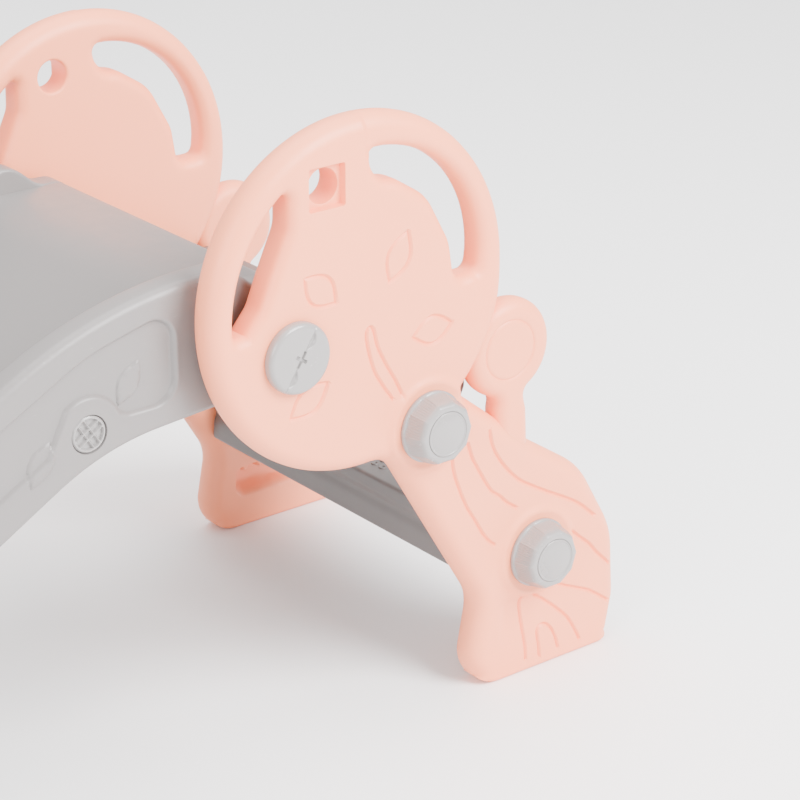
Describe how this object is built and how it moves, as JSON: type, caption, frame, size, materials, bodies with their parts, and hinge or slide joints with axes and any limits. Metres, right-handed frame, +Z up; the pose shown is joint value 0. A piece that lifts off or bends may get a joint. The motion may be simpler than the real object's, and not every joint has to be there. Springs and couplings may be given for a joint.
{
  "type": "toddler slide",
  "caption": "Small toddler slide: two round-headed side panels with hand windows carry two steps on fluted nuts and a two-piece chute on pivot bolts.",
  "frame": {"origin": "middle of the slide's bounding box, on the floor", "axes": "+Z up, +X from the chute's foot towards the steps, +Y across the slide"},
  "size_m": [1.22, 0.5488, 0.616],
  "materials": {
    "pink_panel": "satin blow-moulded polyethylene, pale peach pink",
    "grey_board": "satin blow-moulded polyethylene, warm light grey",
    "grey_chute": "satin blow-moulded polyethylene, warm light grey",
    "grey_insert": "moulded plastic, warm grey",
    "grey_nut": "injection-moulded, soft gloss, light grey",
    "grey_cap": "injection-moulded, soft gloss, light grey",
    "grey_bolt": "injection-moulded, soft gloss, light grey"
  },
  "bodies": {
    "frame": {"side_panel_left": "pink_panel", "side_panel_right": "pink_panel", "lower_step": "grey_board", "upper_step": "grey_board"},
    "chute": {"upper_chute": "grey_chute", "lower_chute": "grey_chute", "pivot_insert_left": "grey_insert", "pivot_insert_right": "grey_insert", "screw_inserts": "grey_insert"},
    "lower_nut_left": {"lower_nut_left": "grey_nut", "lower_nut_cap_left": "grey_cap"},
    "lower_nut_right": {"lower_nut_right": "grey_nut", "lower_nut_cap_right": "grey_cap"},
    "upper_nut_left": {"upper_nut_left": "grey_nut", "upper_nut_cap_left": "grey_cap"},
    "upper_nut_right": {"upper_nut_right": "grey_nut", "upper_nut_cap_right": "grey_cap"},
    "pivot_bolt_left": {"pivot_bolt_left": "grey_bolt"},
    "pivot_bolt_right": {"pivot_bolt_right": "grey_bolt"},
    "chute_screw_upper_left": {"chute_screw_upper_left": "grey_bolt"},
    "chute_screw_upper_right": {"chute_screw_upper_right": "grey_bolt"},
    "chute_screw_lower_left": {"chute_screw_lower_left": "grey_bolt"},
    "chute_screw_lower_right": {"chute_screw_lower_right": "grey_bolt"}
  },
  "joints": [
    {"name": "chute_fold", "type": "hinge", "parent": "frame", "child": "chute", "pos_m": [0.207, 0, 0.409], "axis": [0, 1, 0], "range_deg": [0, 60]},
    {"name": "lower_nut_left_turn", "type": "hinge", "parent": "frame", "child": "lower_nut_left", "pos_m": [0.4966, -0.26, 0.1319], "axis": [0, -1, 0], "continuous": true},
    {"name": "lower_nut_right_turn", "type": "hinge", "parent": "frame", "child": "lower_nut_right", "pos_m": [0.4966, 0.26, 0.1319], "axis": [0, 1, 0], "continuous": true},
    {"name": "upper_nut_left_turn", "type": "hinge", "parent": "frame", "child": "upper_nut_left", "pos_m": [0.3597, -0.26, 0.303], "axis": [0, -1, 0], "continuous": true},
    {"name": "upper_nut_right_turn", "type": "hinge", "parent": "frame", "child": "upper_nut_right", "pos_m": [0.3597, 0.26, 0.303], "axis": [0, 1, 0], "continuous": true},
    {"name": "pivot_bolt_left_turn", "type": "hinge", "parent": "chute", "child": "pivot_bolt_left", "pos_m": [0.207, -0.225, 0.409], "axis": [0, -1, 0], "continuous": true},
    {"name": "pivot_bolt_right_turn", "type": "hinge", "parent": "chute", "child": "pivot_bolt_right", "pos_m": [0.207, 0.225, 0.409], "axis": [0, 1, 0], "continuous": true},
    {"name": "chute_screw_upper_left_turn", "type": "hinge", "parent": "chute", "child": "chute_screw_upper_left", "pos_m": [0.019, -0.19, 0.369], "axis": [0, -1, 0], "continuous": true},
    {"name": "chute_screw_upper_right_turn", "type": "hinge", "parent": "chute", "child": "chute_screw_upper_right", "pos_m": [0.019, 0.19, 0.369], "axis": [0, 1, 0], "continuous": true},
    {"name": "chute_screw_lower_left_turn", "type": "hinge", "parent": "chute", "child": "chute_screw_lower_left", "pos_m": [-0.113, -0.19, 0.293], "axis": [0, -1, 0], "continuous": true},
    {"name": "chute_screw_lower_right_turn", "type": "hinge", "parent": "chute", "child": "chute_screw_lower_right", "pos_m": [-0.113, 0.19, 0.293], "axis": [0, 1, 0], "continuous": true}
  ]
}
